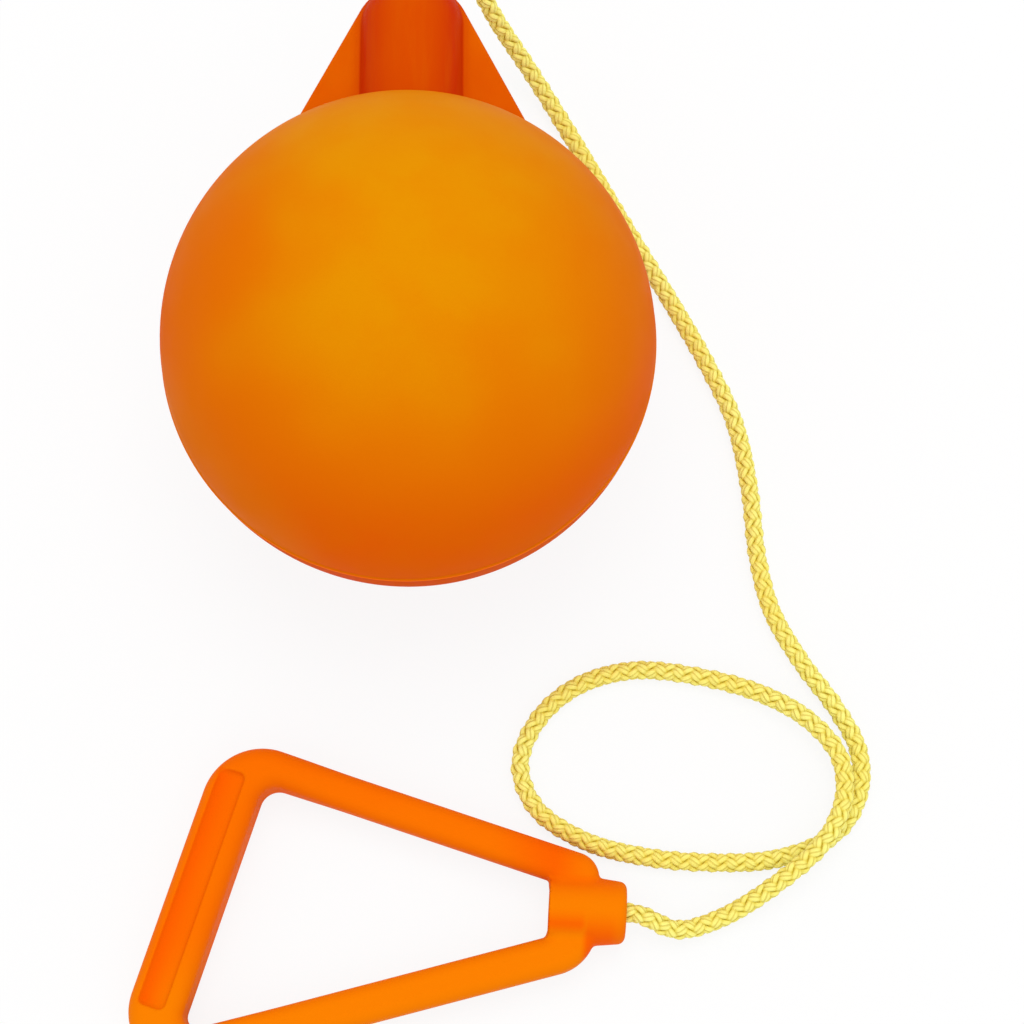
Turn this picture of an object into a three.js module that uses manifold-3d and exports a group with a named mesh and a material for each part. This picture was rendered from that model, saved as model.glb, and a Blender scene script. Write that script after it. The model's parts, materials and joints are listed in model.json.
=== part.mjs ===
// A soft training hammer for throwing: a hollow ball with a winged neck, a braided rope and a stirrup handle.
// It lies on the ground with its neck along +Y, and the rope makes one loose loop on its way to the handle.
// Millimetres and degrees, +Z up. The origin is on the ground, under the middle of the ball and the handle.

import * as THREE from "three";
import { mergeVertices } from "three/addons/utils/BufferGeometryUtils.js";
import Module from "manifold-3d";

// Fits that several pieces share
const fit_gap = 0.3;
const cut_overrun = 5;

// Rope
const rope_diameter = 7;
const rope_clearance = 1;
const rope_ground_gap = 0.2;
const neck_straight_run = 6.4;
const handle_straight_run = 3.7;
const rope_sides = 10;
const rope_steps = 78;
const rope_gap_steps = 12;
const rope_neighbour_share = 4;

// Ball
const ball_radius = 82.5;
const ball_wall = 3;
const rest_flat_depth = 0.5;
const seam_bead_height = 0.4;
const seam_bead_half_width = 0.6;
const tongue_height = 2;
const tongue_thickness = 1.35;
const ball_segments = 48;
const ball_rings = 10;
const ball_inner_rings = 9;

// Neck
const neck_radius = 18;
const neck_length = 30.5;
const neck_mouth_radius = 7;
const neck_mouth_round = 0.8;
const neck_pocket_radius = 13;
const neck_cap_length = 25;
const flange_radius = 26;
const flange_thickness = 3;
const flange_gap = 0.8;
const wing_spread = 43.5;
const wing_slant = 27.2;
const wing_thickness = 7;
const wing_top_drop = 2.2;
const wing_top_round = 13.7;
const wing_round_steps = 4;
const neck_segments = 40;
const dome_steps = 8;

// What holds the rope in the neck
const neck_washer_radius = 12;
const neck_washer_thickness = 2;
const knot_radius = 10.5;
const knot_groove_depth = 1.6;
const knot_length = 21;
const knot_turns = 3;
const knot_segments = 24;
const lobe_steps = 5;

// Handle, seen with its boss to the right: the lower arm is the longer one, so the grip slants
const upper_arm_length = 120.8;
const upper_arm_angle = 15.5;
const upper_arm_width = 12.1;
const lower_arm_length = 151.2;
const lower_arm_angle = 17.5;
const lower_arm_width = 13;
const arm_thickness = 14;
const arm_edge_radius = 4.6;
const grip_width = 19;
const grip_edge_radius = 6;
const grip_swell_length = 32;
const bridge_span = 27.4;
const bridge_width = 16.9;
const upper_outer_radius = 21;
const upper_inner_radius = 6.5;
const lower_outer_radius = 19.5;
const lower_inner_radius = 4;
const lower_shoulder_outer_radius = 17;
const lower_shoulder_inner_radius = 2.5;
const upper_shoulder_outer_radius = 9;
const upper_shoulder_inner_radius = 1.2;
const channel_width = 9.6;
const channel_depth = 2.6;
const channel_shift = 1.4;
const channel_corner_radius = 1.8;
const channel_upper_margin = 6;
const channel_lower_margin = 19;
const corner_steps = 7;
const side_steps = 8;
const edge_steps = 3;

// Boss at the handle's narrow end
const boss_radius = 11.5;
const boss_end_radius = 10.4;
const boss_tip_round = 2.4;
const boss_nose_length = 9.6;
const boss_pocket_radius = 8.2;
const boss_pocket_depth = 13.5;
const boss_segments = 40;
const tip_steps = 4;
const handle_washer_thickness = 1.5;
const stop_length = 9;
const stop_round = 2.4;

// Where the handle lies, from the ball's centre to the tip of its boss
const handle_place_x = 73.6;
const handle_place_y = -183.3;
const handle_turn = -3;

const radians = THREE.MathUtils.degToRad;
const rope_radius = rope_diameter / 2;
const bore_radius = rope_radius + rope_clearance;
const ball_height = ball_radius - rest_flat_depth;
const inner_radius = ball_radius - ball_wall;

// Levels along the neck, counted from the ball's centre
const dome_centre = ball_radius + neck_length;
const neck_mouth = dome_centre + Math.sqrt(neck_radius ** 2 - neck_mouth_radius ** 2);
const pocket_roof = neck_mouth - neck_cap_length;
const washer_face = pocket_roof - fit_gap - neck_washer_thickness;
const knot_face = washer_face - fit_gap;
const flange_top = Math.sqrt(inner_radius ** 2 - flange_radius ** 2) - flange_gap;
const flange_bottom = flange_top - flange_thickness;

// Levels along the handle's own axis, counted back from the tip of its boss
const bridge_outer = -boss_nose_length;
const bridge_centre = bridge_outer - bridge_width / 2;
const bridge_inner = bridge_outer - bridge_width;
const boss_pocket_floor = bridge_inner + boss_pocket_depth;
const handle_washer_face = boss_pocket_floor - fit_gap - handle_washer_thickness;
const stop_face = handle_washer_face - fit_gap;

const wasm = await Module();
wasm.setup();

const flat = (x, y) => new THREE.Vector2(x, y);

// A closed three.js geometry as a solid that can be joined and cut
function solid(geometry) {
  const bare = geometry.clone();
  bare.deleteAttribute("normal");
  bare.deleteAttribute("uv");
  const merged = mergeVertices(bare, 1e-4);
  return new wasm.Manifold(
    new wasm.Mesh({
      numProp: 3,
      vertProperties: new Float32Array(merged.attributes.position.array),
      triVerts: new Uint32Array(merged.index.array),
    }),
  );
}

function geometryOf(body) {
  const mesh = body.getMesh();
  const geometry = new THREE.BufferGeometry();
  geometry.setAttribute("position", new THREE.BufferAttribute(mesh.vertProperties, 3));
  geometry.setIndex(new THREE.BufferAttribute(mesh.triVerts, 1));
  geometry.computeVertexNormals();
  return geometry;
}

// Points on a circle round (x, y), from one angle to another, both ends included
function arc(x, y, radius, from, to, steps) {
  const points = [];
  for (let i = 0; i <= steps; i++) {
    const angle = from + ((to - from) * i) / steps;
    points.push(flat(x + radius * Math.cos(angle), y + radius * Math.sin(angle)));
  }
  return points;
}

function cylinder(radius, from, to, segments) {
  const profile = [flat(0, from), flat(radius, from), flat(radius, to), flat(0, to)];
  return new THREE.LatheGeometry(profile, segments);
}

function sphere(radius) {
  const profile = arc(0, 0, radius, -Math.PI / 2, Math.PI / 2, 2 * ball_rings);
  profile[0].x = 0;
  profile[profile.length - 1].x = 0;
  return new THREE.LatheGeometry(profile, ball_segments).rotateX(Math.PI / 2);
}

// Both half shells are open where the neck comes through
function withNeckHole(profile) {
  const shell = new THREE.LatheGeometry(profile, ball_segments).rotateX(Math.PI / 2);
  const hole = cylinder(neck_radius + fit_gap, flange_bottom, ball_radius + cut_overrun, neck_segments);
  return geometryOf(solid(shell).subtract(solid(hole)));
}

// The half that lies on the ground, with the flat it rests on and a tongue round its rim
function lowerShell() {
  const flat_radius = Math.sqrt(ball_radius ** 2 - ball_height ** 2);
  const flat_angle = -Math.acos(flat_radius / ball_radius);
  const bead_angle = -Math.asin((seam_bead_half_width + seam_bead_height) / ball_radius);
  const inside = arc(0, 0, inner_radius, 0, -Math.PI / 2, ball_inner_rings);
  inside[inside.length - 1].x = 0;
  return withNeckHole([
    flat(0, -ball_height),
    ...arc(0, 0, ball_radius, flat_angle, bead_angle, ball_rings),
    flat(ball_radius + seam_bead_height, -seam_bead_half_width),
    flat(ball_radius + seam_bead_height, 0),
    flat(inner_radius + tongue_thickness, 0),
    flat(inner_radius + tongue_thickness, tongue_height),
    flat(inner_radius, tongue_height),
    ...inside,
  ]);
}

// The other half, with a rebate for the tongue
function upperShell() {
  const bead_angle = Math.asin((seam_bead_half_width + seam_bead_height) / ball_radius);
  const rebate_top = tongue_height + fit_gap;
  const rebate_angle = Math.asin(rebate_top / inner_radius);
  const inside = arc(0, 0, inner_radius, Math.PI / 2, rebate_angle, ball_inner_rings);
  inside[0].x = 0;
  const outside = arc(0, 0, ball_radius, bead_angle, Math.PI / 2, ball_rings);
  outside[outside.length - 1].x = 0;
  return withNeckHole([
    ...inside,
    flat(inner_radius + tongue_thickness + fit_gap, rebate_top),
    flat(inner_radius + tongue_thickness + fit_gap, 0),
    flat(ball_radius + seam_bead_height, 0),
    flat(ball_radius + seam_bead_height, seam_bead_half_width),
    ...outside,
  ]);
}

// Two flat wings brace the neck: their slanted edges run from the ball up to a round top beside the dome
function wings() {
  const foot_level = Math.sqrt(ball_radius ** 2 - wing_spread ** 2);
  const slant = radians(wing_slant);
  const round_y = neck_mouth - wing_top_drop - wing_top_round;
  const wall = wing_spread * Math.cos(slant) + foot_level * Math.sin(slant);
  const round_x = (wall - wing_top_round - round_y * Math.sin(slant)) / Math.cos(slant);
  const right = [
    flat(wing_spread, foot_level - cut_overrun),
    flat(wing_spread, foot_level),
    ...arc(round_x, round_y, wing_top_round, slant, Math.PI / 2, wing_round_steps),
  ];
  const left = right.map((point) => flat(-point.x, point.y)).reverse();
  const outline = new THREE.Shape([...right, ...left]);
  return new THREE.ExtrudeGeometry(outline, { depth: wing_thickness, bevelEnabled: false }).translate(
    0,
    0,
    -wing_thickness / 2,
  );
}

function neck() {
  const dome_end = Math.acos(neck_mouth_radius / neck_radius);
  const profile = [
    flat(neck_pocket_radius, flange_bottom),
    flat(flange_radius, flange_bottom),
    flat(flange_radius, flange_top),
    flat(neck_radius, flange_top),
    ...arc(0, dome_centre, neck_radius, 0, dome_end, dome_steps),
    flat(bore_radius + neck_mouth_round, neck_mouth),
    flat(bore_radius, neck_mouth - neck_mouth_round),
    flat(bore_radius, pocket_roof),
    flat(neck_pocket_radius, pocket_roof),
    flat(neck_pocket_radius, flange_bottom),
  ];
  const turned = solid(new THREE.LatheGeometry(profile, neck_segments));
  const hollow = solid(cylinder(neck_radius - fit_gap, flange_bottom, neck_mouth, neck_segments));
  const braces = solid(wings())
    .subtract(solid(sphere(ball_radius + seam_bead_height + fit_gap)))
    .subtract(hollow);
  return geometryOf(turned.add(braces));
}

function washer(radius, thickness) {
  const profile = [
    flat(bore_radius, 0),
    flat(radius, 0),
    flat(radius, thickness),
    flat(bore_radius, thickness),
    flat(bore_radius, 0),
  ];
  return new THREE.LatheGeometry(profile, neck_segments);
}

// A tight stopper knot: turns of rope wound on each other, one rounded lobe for each
function knot() {
  const lobe_length = knot_length / knot_turns;
  const waist = knot_radius - knot_groove_depth;
  const profile = [flat(0, -knot_length), flat(rope_radius, -knot_length)];
  for (let turn = 0; turn < knot_turns; turn++) {
    for (let step = turn === 0 ? 0 : 1; step <= lobe_steps; step++) {
      const share = step / lobe_steps;
      const bulge = knot_groove_depth * Math.sin(Math.PI * share);
      profile.push(flat(waist + bulge, -knot_length + (turn + share) * lobe_length));
    }
  }
  profile.push(flat(0, 0));
  return new THREE.LatheGeometry(profile, knot_segments);
}

// The rope's melted end, spread to a bead that can't pass the washer
function ropeStop(radius) {
  const profile = [
    flat(0, -stop_length),
    ...arc(radius - stop_round, stop_round - stop_length, stop_round, -Math.PI / 2, 0, tip_steps),
    flat(radius, 0),
    flat(0, 0),
  ];
  return new THREE.LatheGeometry(profile, knot_segments);
}

// The rope's route from the ball's centre: out of the neck, down to the ground, round one loop that
// passes over its own start in a low hump, and into the handle's boss.
function ropeRoute(place) {
  const lie = -ball_height + rope_radius + rope_ground_gap;
  const over = lie + rope_diameter + rope_clearance;
  const boss_level = boss_radius - ball_height;
  const along = (distance) => [
    place.x + distance * Math.cos(radians(handle_turn)),
    place.y + distance * Math.sin(radians(handle_turn)),
    boss_level,
  ];
  return [
    [0, washer_face, 0],
    [0, neck_mouth + neck_straight_run, 0],
    [2, 149, -2.4],
    [8.5, 158, -13],
    [18, 154.5, -31],
    [29, 143, -52],
    [41, 131, -68],
    [52, 116, -76.4],
    [71.4, 81.5, -78],
    [105.6, 19, lie],
    [115.8, -4.5, lie],
    [120.7, -30, lie],
    [122.9, -55, lie],
    [127.6, -75.4, lie],
    [137.9, -94.4, lie],
    [149.1, -110.2, lie],
    [156.5, -125, lie],
    [157, -138, lie],
    [152, -150, lie],
    [142, -158.5, lie],
    [125, -164, lie],
    [104, -165, lie],
    [82, -163.2, lie],
    [60, -157.5, lie],
    [43, -146, lie],
    [37.4, -131, lie],
    [43.4, -115.2, lie],
    [57, -103, lie],
    [77, -97, lie],
    [100, -99, lie],
    [122.3, -105.4, -76.9],
    [138.7, -115.4, -73.7],
    [148.8, -128.7, -71],
    [150, -143, over],
    [143, -158, over],
    [126, -172.9, -72.8],
    [106.5, -184.4, -77],
    [91.4, -188.4, -75.2],
    along(handle_straight_run),
    along(handle_washer_face),
  ].map(([x, y, z]) => new THREE.Vector3(x, y, z));
}

// The least gap between the rope and itself, where it passes over its own start. Points of its centre line
// that are only a few diameters apart along it are neighbours and don't count.
function leastGap(route) {
  const corners = route.getSpacedPoints(rope_steps);
  const line = corners.slice(1).flatMap((corner, i) =>
    Array.from({ length: rope_gap_steps }, (_, step) =>
      corners[i].clone().lerp(corner, step / rope_gap_steps),
    ),
  );
  const spacing = route.getLength() / line.length;
  const apart = Math.ceil((rope_neighbour_share * rope_diameter) / spacing);
  let least = Infinity;
  for (let i = 0; i < line.length; i++) {
    for (let j = i + apart; j < line.length; j++) {
      least = Math.min(least, line[i].distanceTo(line[j]));
    }
  }
  return least - rope_diameter;
}

function rope(place) {
  const route = new THREE.CatmullRomCurve3(ropeRoute(place));
  console.log(`rope ${route.getLength().toFixed(1)} mm, least gap to itself ${leastGap(route).toFixed(2)} mm`);
  const section = [];
  for (let side = 0; side < rope_sides; side++) {
    const angle = (2 * Math.PI * side) / rope_sides;
    section.push(flat(rope_radius * Math.cos(angle), rope_radius * Math.sin(angle)));
  }
  return new THREE.ExtrudeGeometry(new THREE.Shape(section), { steps: rope_steps, extrudePath: route });
}

// The four corners of the handle's centre line, in the handle's own axes
function handleCorners() {
  const half_span = bridge_span / 2;
  const upper_bridge = flat(bridge_centre, half_span);
  const lower_bridge = flat(bridge_centre, -half_span);
  const upper_grip = flat(
    upper_bridge.x - upper_arm_length * Math.cos(radians(upper_arm_angle)),
    upper_bridge.y + upper_arm_length * Math.sin(radians(upper_arm_angle)),
  );
  const lower_grip = flat(
    lower_bridge.x - lower_arm_length * Math.cos(radians(lower_arm_angle)),
    lower_bridge.y - lower_arm_length * Math.sin(radians(lower_arm_angle)),
  );
  return [upper_grip, lower_grip, lower_bridge, upper_bridge];
}

// Where two lines meet, each given by a point and a direction
function crossing(p, along_p, q, along_q) {
  const turn = along_p.cross(along_q);
  const t = q.clone().sub(p).cross(along_q) / turn;
  return p.clone().addScaledVector(along_p, t);
}

// The corners moved out by half of each side's width, or in when side is -1. Side i runs from corner i.
function offsetCorners(corners, widths, side) {
  const count = corners.length;
  const edges = corners.map((corner, i) => {
    const along = corners[(i + 1) % count].clone().sub(corner).normalize();
    const outward = flat(along.y, -along.x);
    return { along, start: corner.clone().addScaledVector(outward, (side * widths[i]) / 2) };
  });
  return corners.map((_, i) => {
    const before = edges[(i + count - 1) % count];
    const after = edges[i];
    return crossing(before.start, before.along, after.start, after.along);
  });
}

// A closed line through the corners, each rounded, with as many points whatever the radii are
function roundedLoop(corners, radii) {
  const count = corners.length;
  const arcs = corners.map((corner, i) => {
    const back = corners[(i + count - 1) % count].clone().sub(corner).normalize();
    const ahead = corners[(i + 1) % count].clone().sub(corner).normalize();
    const half = Math.acos(back.dot(ahead)) / 2;
    const middle = back.clone().add(ahead).normalize();
    const centre = corner.clone().addScaledVector(middle, radii[i] / Math.sin(half));
    const tangent_length = radii[i] / Math.tan(half);
    const first = corner.clone().addScaledVector(back, tangent_length).sub(centre);
    const sweep = Math.PI - 2 * half;
    return Array.from({ length: corner_steps + 1 }, (_, step) => {
      const turned = first.clone().rotateAround(flat(0, 0), (sweep * step) / corner_steps);
      return turned.add(centre);
    });
  });
  return arcs.flatMap((points, i) => {
    const next = arcs[(i + 1) % count][0];
    const last = points[corner_steps];
    const side = Array.from({ length: side_steps - 1 }, (_, step) =>
      last.clone().lerp(next, (step + 1) / side_steps),
    );
    return [...points, ...side];
  });
}

// A rectangle of half sizes a and b with round corners, as points round it
function roundedSection(a, b, radius) {
  const quarter = Math.PI / 2;
  const centres = [
    [a - radius, b - radius],
    [radius - a, b - radius],
    [radius - a, radius - b],
    [a - radius, radius - b],
  ];
  return centres.flatMap(([x, y], corner) =>
    arc(x, y, radius, corner * quarter, (corner + 1) * quarter, edge_steps),
  );
}

// The stirrup: a rounded bar round the finger gap, thickest along the grip
function stirrup(corners) {
  const widths = [grip_width, lower_arm_width, bridge_width, upper_arm_width];
  const outer_radii = [
    upper_outer_radius,
    lower_outer_radius,
    lower_shoulder_outer_radius,
    upper_shoulder_outer_radius,
  ];
  const inner_radii = [
    upper_inner_radius,
    lower_inner_radius,
    lower_shoulder_inner_radius,
    upper_shoulder_inner_radius,
  ];
  const outer = roundedLoop(offsetCorners(corners, widths, 1), outer_radii);
  const inner = roundedLoop(offsetCorners(corners, widths, -1), inner_radii);
  const grip_line = corners[1].clone().sub(corners[0]).normalize();
  const positions = [];
  outer.forEach((rim, i) => {
    const middle = rim.clone().add(inner[i]).divideScalar(2);
    const outward = rim.clone().sub(inner[i]).divideScalar(2);
    const from_grip = Math.abs(middle.clone().sub(corners[0]).cross(grip_line));
    const blend = THREE.MathUtils.smoothstep(
      from_grip,
      grip_width / 2,
      grip_width / 2 + grip_swell_length,
    );
    const half_thickness = THREE.MathUtils.lerp(boss_radius, arm_thickness / 2, blend);
    const edge = THREE.MathUtils.lerp(grip_edge_radius, arm_edge_radius, blend);
    const half_width = outward.length();
    for (const point of roundedSection(half_width, half_thickness, edge)) {
      const place = middle.clone().addScaledVector(outward, point.x / half_width);
      positions.push(place.x, place.y, point.y);
    }
  });
  return ringGeometry(positions, outer.length);
}

// A closed tube through equal sections that follow each other round a loop
function ringGeometry(positions, stations) {
  const around = positions.length / 3 / stations;
  const index = [];
  for (let i = 0; i < stations; i++) {
    const next = (i + 1) % stations;
    for (let j = 0; j < around; j++) {
      const k = (j + 1) % around;
      index.push(i * around + j, next * around + j, next * around + k);
      index.push(i * around + j, next * around + k, i * around + k);
    }
  }
  const geometry = new THREE.BufferGeometry();
  geometry.setAttribute("position", new THREE.Float32BufferAttribute(positions, 3));
  geometry.setIndex(index);
  return geometry;
}

// The shallow channel in the face of the grip
function gripChannel(corners) {
  const [upper, lower] = corners;
  const along = lower.clone().sub(upper).normalize();
  const outward = flat(along.y, -along.x);
  const start = channel_upper_margin;
  const end = upper.distanceTo(lower) - channel_lower_margin;
  const middle = upper
    .clone()
    .addScaledVector(along, (start + end) / 2)
    .addScaledVector(outward, channel_shift);
  const outline = new THREE.Shape(
    roundedSection((end - start) / 2, channel_width / 2, channel_corner_radius),
  );
  return new THREE.ExtrudeGeometry(outline, { depth: channel_depth + cut_overrun, bevelEnabled: false })
    .rotateZ(along.angle())
    .translate(middle.x, middle.y, boss_radius - channel_depth);
}

// The boss that the rope runs through, tapering to its tip
function boss() {
  const profile = [
    flat(0, bridge_inner),
    flat(boss_radius, bridge_inner),
    flat(boss_radius, bridge_outer),
    ...arc(boss_end_radius - boss_tip_round, -boss_tip_round, boss_tip_round, 0, Math.PI / 2, tip_steps),
    flat(0, 0),
  ];
  return new THREE.LatheGeometry(profile, boss_segments).rotateZ(-Math.PI / 2);
}

function handle() {
  const corners = handleCorners();
  const pocket_start = bridge_inner - cut_overrun;
  const pocket = cylinder(boss_pocket_radius, pocket_start, boss_pocket_floor, boss_segments);
  const bore = cylinder(bore_radius, pocket_start, cut_overrun, boss_segments);
  return geometryOf(
    solid(stirrup(corners))
      .add(solid(boss()))
      .subtract(solid(pocket.rotateZ(-Math.PI / 2)))
      .subtract(solid(bore.rotateZ(-Math.PI / 2)))
      .subtract(solid(gripChannel(corners))),
  );
}

const finish = (colour, roughness, metalness = 0) =>
  new THREE.MeshStandardMaterial({ color: colour, roughness, metalness });
const soft_ball = finish("#e88208", 0.5);
const neck_vinyl = finish("#dc4e03", 0.42);
const handle_plastic = finish("#ff7800", 0.38);
const yellow_rope = finish("#efd850", 0.75);
const zinc = finish("#b9bcc0", 0.35, 0.9);

function piece(name, geometry, material) {
  const mesh = new THREE.Mesh(geometry, material);
  mesh.name = name;
  return mesh;
}

// Pieces on the neck's axis, round the ball's centre
const ball = new THREE.Group();
ball.position.z = ball_height;
const neck_washer = piece("neck_washer", washer(neck_washer_radius, neck_washer_thickness), zinc);
neck_washer.position.y = washer_face;
ball.add(
  piece("ball_lower_shell", lowerShell(), soft_ball),
  piece("ball_upper_shell", upperShell(), soft_ball),
  piece("neck", neck(), neck_vinyl),
  neck_washer,
);

// Pieces on the boss's axis
const grip = new THREE.Group();
grip.position.set(handle_place_x, handle_place_y, boss_radius);
grip.rotation.z = radians(handle_turn);
const stop_radius = boss_pocket_radius - fit_gap;
const handle_washer = piece("handle_washer", washer(stop_radius, handle_washer_thickness), zinc);
handle_washer.rotation.z = -Math.PI / 2;
handle_washer.position.x = handle_washer_face;
grip.add(piece("handle", handle(), handle_plastic), handle_washer);

const neck_knot = piece("neck_rope_knot", knot(), yellow_rope);
neck_knot.position.set(0, knot_face, ball_height);
const handle_stop = piece("handle_rope_stop", ropeStop(stop_radius), yellow_rope);
handle_stop.rotation.z = -Math.PI / 2;
handle_stop.position.x = stop_face;
const handle_stop_seat = new THREE.Group();
handle_stop_seat.position.copy(grip.position);
handle_stop_seat.rotation.copy(grip.rotation);
handle_stop_seat.add(handle_stop);
const cord = piece("rope", rope(grip.position), yellow_rope);
cord.position.z = ball_height;

// The ball and the handle settle the origin, and the rope follows them
const hammer = new THREE.Group();
hammer.add(ball, grip);
const footprint = new THREE.Box3().setFromObject(hammer, true).getCenter(new THREE.Vector3());
hammer.add(neck_knot, handle_stop_seat, cord);
hammer.position.set(-footprint.x, -footprint.y, 0);

export default hammer;
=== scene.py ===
# A soft training hammer for throwing, dressed round its fixed frame.
# Smooth mouldings stand for the faceted solids, and the rope is braided strand by strand.
# Metres and degrees, +Z up, in the frame of the part.

import json
import math

import bpy
import numpy as np
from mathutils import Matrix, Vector

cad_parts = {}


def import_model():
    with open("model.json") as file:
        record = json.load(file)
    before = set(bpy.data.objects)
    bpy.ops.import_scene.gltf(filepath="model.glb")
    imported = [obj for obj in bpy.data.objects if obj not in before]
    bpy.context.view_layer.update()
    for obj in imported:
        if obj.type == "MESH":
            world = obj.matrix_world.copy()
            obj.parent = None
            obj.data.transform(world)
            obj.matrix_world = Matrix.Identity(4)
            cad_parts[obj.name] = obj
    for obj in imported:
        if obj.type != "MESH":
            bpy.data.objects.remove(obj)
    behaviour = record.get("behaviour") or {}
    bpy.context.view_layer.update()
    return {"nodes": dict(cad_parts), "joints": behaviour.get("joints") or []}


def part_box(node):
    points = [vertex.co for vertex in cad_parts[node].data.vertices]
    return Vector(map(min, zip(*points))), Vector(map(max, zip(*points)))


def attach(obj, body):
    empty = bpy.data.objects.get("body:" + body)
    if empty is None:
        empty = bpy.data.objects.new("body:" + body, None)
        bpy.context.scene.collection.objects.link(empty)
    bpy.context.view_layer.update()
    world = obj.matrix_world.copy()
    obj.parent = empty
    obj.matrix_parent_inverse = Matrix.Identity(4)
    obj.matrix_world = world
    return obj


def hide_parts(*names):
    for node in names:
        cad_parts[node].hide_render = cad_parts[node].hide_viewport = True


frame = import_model()

# Gaps and cuts of several pieces
FIT_GAP = 0.0003
CUT_OVERRUN = 0.005
BORE_RADIUS = 0.0045

# Rope
ROPE_DIAMETER = 0.007
ROPE_GROUND_GAP = 0.0002
ROPE_CLEARANCE = 0.001
NECK_STRAIGHT_RUN = 0.0064
HANDLE_STRAIGHT_RUN = 0.0037

# Ball
BALL_WALL = 0.003
SEAM_BEAD_HALF_WIDTH = 0.0006
TONGUE_HEIGHT = 0.002
TONGUE_THICKNESS = 0.00135

# Neck
NECK_RADIUS = 0.018
NECK_LENGTH = 0.0305
NECK_POCKET_RADIUS = 0.013
NECK_CAP_LENGTH = 0.025
FLANGE_RADIUS = 0.026
FLANGE_THICKNESS = 0.003
WING_SPREAD = 0.0435
WING_SLANT = 27.2
WING_THICKNESS = 0.007
WING_TOP_DROP = 0.0022
WING_TOP_ROUND = 0.0137
WING_SEAT_GAP = 0.0001
WING_EDGE_ROUND = 0.0011
WING_SEAT_ROUND = 0.0004
WING_FILLET = 0.0013
MOUTH_ROUND = 0.001
FLANGE_EDGE_ROUND = 0.0006
FLANGE_GAP = 0.0008
NECK_POCKET_ROUND = 0.0006
NECK_BORE_ROUND = 0.0014
KNOT_RADIUS = 0.0105
KNOT_LENGTH = 0.021
KNOT_TURNS = 3
KNOT_OPEN_TURN = 0.4

# Handle
UPPER_ARM_LENGTH = 0.1208
UPPER_ARM_ANGLE = 15.5
UPPER_ARM_WIDTH = 0.0121
LOWER_ARM_LENGTH = 0.1512
LOWER_ARM_ANGLE = 17.5
LOWER_ARM_WIDTH = 0.013
ARM_THICKNESS = 0.014
ARM_EDGE_RADIUS = 0.0046
GRIP_WIDTH = 0.019
GRIP_EDGE_RADIUS = 0.006
GRIP_SWELL_LENGTH = 0.032
BRIDGE_SPAN = 0.0274
BRIDGE_WIDTH = 0.0169
OUTER_RADII = (0.021, 0.0195, 0.017, 0.009)
INNER_RADII = (0.0065, 0.004, 0.0025, 0.0012)
CHANNEL_WIDTH = 0.0096
CHANNEL_DEPTH = 0.0026
CHANNEL_SHIFT = 0.0014
CHANNEL_CORNER_RADIUS = 0.0024
CHANNEL_UPPER_MARGIN = 0.006
CHANNEL_LOWER_MARGIN = 0.019
CHANNEL_RIM_ROUND = 0.0009
BOSS_RADIUS = 0.0115
BOSS_END_RADIUS = 0.0104
BOSS_TIP_ROUND = 0.0024
BOSS_NOSE_LENGTH = 0.0096
BOSS_POCKET_RADIUS = 0.0082
BOSS_POCKET_DEPTH = 0.0135
BOSS_FILLET = 0.0014
BOSS_POCKET_ROUND = 0.0008
BOSS_BORE_ROUND = 0.0012
HANDLE_WASHER_THICKNESS = 0.0015

# Melted rope end
STOP_LENGTH = 0.009
STOP_SHRINKAGE = 0.0002
STOP_END_ROUND = 0.0024
STOP_FACE_ROUND = 0.0006
STOP_UNEVEN_SHARE = 0.05
STOP_SEGMENTS = 48

# Camera and room
CAMERA_ELEVATION = 75
CAMERA_DISTANCE = 0.87273
CAMERA_AIM_SHIFT = (0.03454, -0.03757)
CAMERA_LENS = 84.375
FLOOR_SIZE = 30
FLOOR_GREY = 0.86
FLOOR_GLOW_SHARE = 0.86
ROOM_LIGHT = 0.86

# Places read from the frame
lower_low, lower_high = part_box("ball_lower_shell")
upper_low, upper_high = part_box("ball_upper_shell")
bead_radius = (lower_high.x - lower_low.x) / 2
ball_centre = Vector(((lower_low.x + lower_high.x) / 2, lower_low.y + bead_radius, upper_low.z))
ball_radius = upper_high.z - ball_centre.z
bead_height = bead_radius - ball_radius
neck_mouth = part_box("neck")[1].y - ball_centre.y
washer_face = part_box("neck_washer")[0].y - ball_centre.y
knot_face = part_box("neck_rope_knot")[1].y - ball_centre.y
joints = {joint["name"]: joint for joint in frame["joints"]}
boss_tip = Vector(joints["handle_swivel"]["pos_m"])
boss_axis = Vector(joints["handle_swivel"]["axis"]).normalized()
boss_side = Vector((-boss_axis.y, boss_axis.x, 0))

# Levels along the neck, from the ball's centre, and along the boss's axis, from its tip
dome_centre = ball_radius + NECK_LENGTH
pocket_roof = neck_mouth - NECK_CAP_LENGTH
flange_top = math.sqrt((ball_radius - BALL_WALL) ** 2 - FLANGE_RADIUS**2) - FLANGE_GAP
flange_bottom = flange_top - FLANGE_THICKNESS
bridge_outer = -BOSS_NOSE_LENGTH
bridge_centre = bridge_outer - BRIDGE_WIDTH / 2
bridge_inner = bridge_outer - BRIDGE_WIDTH
boss_pocket_floor = bridge_inner + BOSS_POCKET_DEPTH
handle_washer_face = boss_pocket_floor - FIT_GAP - HANDLE_WASHER_THICKNESS
stop_face = handle_washer_face - FIT_GAP


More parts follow.
